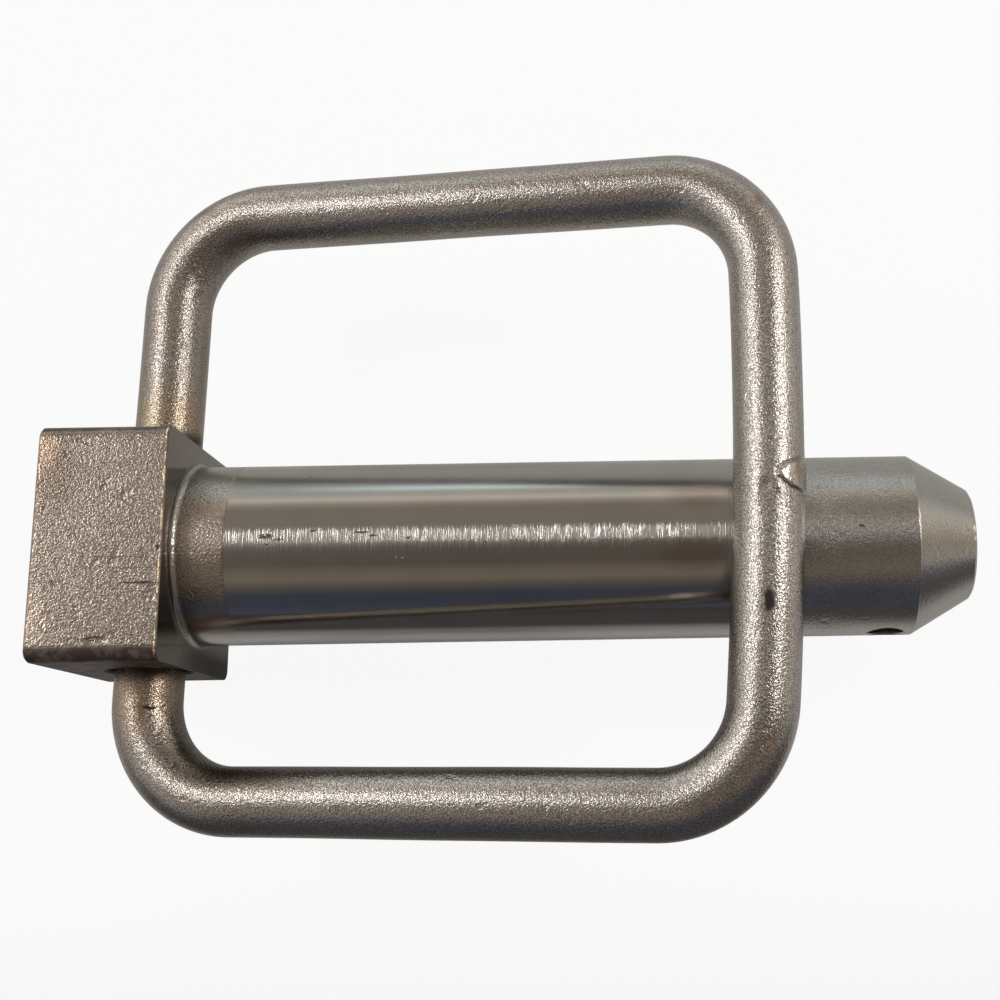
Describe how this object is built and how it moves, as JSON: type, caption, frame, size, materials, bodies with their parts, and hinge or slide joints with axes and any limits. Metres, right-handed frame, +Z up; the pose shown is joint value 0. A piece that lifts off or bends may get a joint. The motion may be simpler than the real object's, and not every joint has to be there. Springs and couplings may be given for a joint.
{
  "type": "hitch pin",
  "caption": "Hitch pin with a round shank, tapered tip and keeper hole, turned on a square bored head that carries a swinging welded wire bail.",
  "frame": {"origin": "on the shank's axis, at the head's bearing face", "axes": "+X along the shank to the tip, +Y along the bail bore, +Z up, the side on which the bail lies"},
  "size_m": [0.1269, 0.0954, 0.039],
  "materials": {
    "pin_steel": "satin steel with a brownish tint: shot-blasted bar faces on the head, fine turning marks on the shank, grainy towards the tip",
    "bail_steel": "shot-blasted steel wire, finely grained, slightly brown, with a rough butt weld on the outer leg"
  },
  "bodies": {
    "pin_body": {"pin": "pin_steel"},
    "bail_body": {"bail": "bail_steel"}
  },
  "joints": [
    {"name": "bail_swing", "type": "hinge", "parent": "pin_body", "child": "bail_body", "pos_m": [-0.00575, 0, 0], "axis": [-0.0199, -0.9998, 0], "range_deg": [0, 336]}
  ]
}
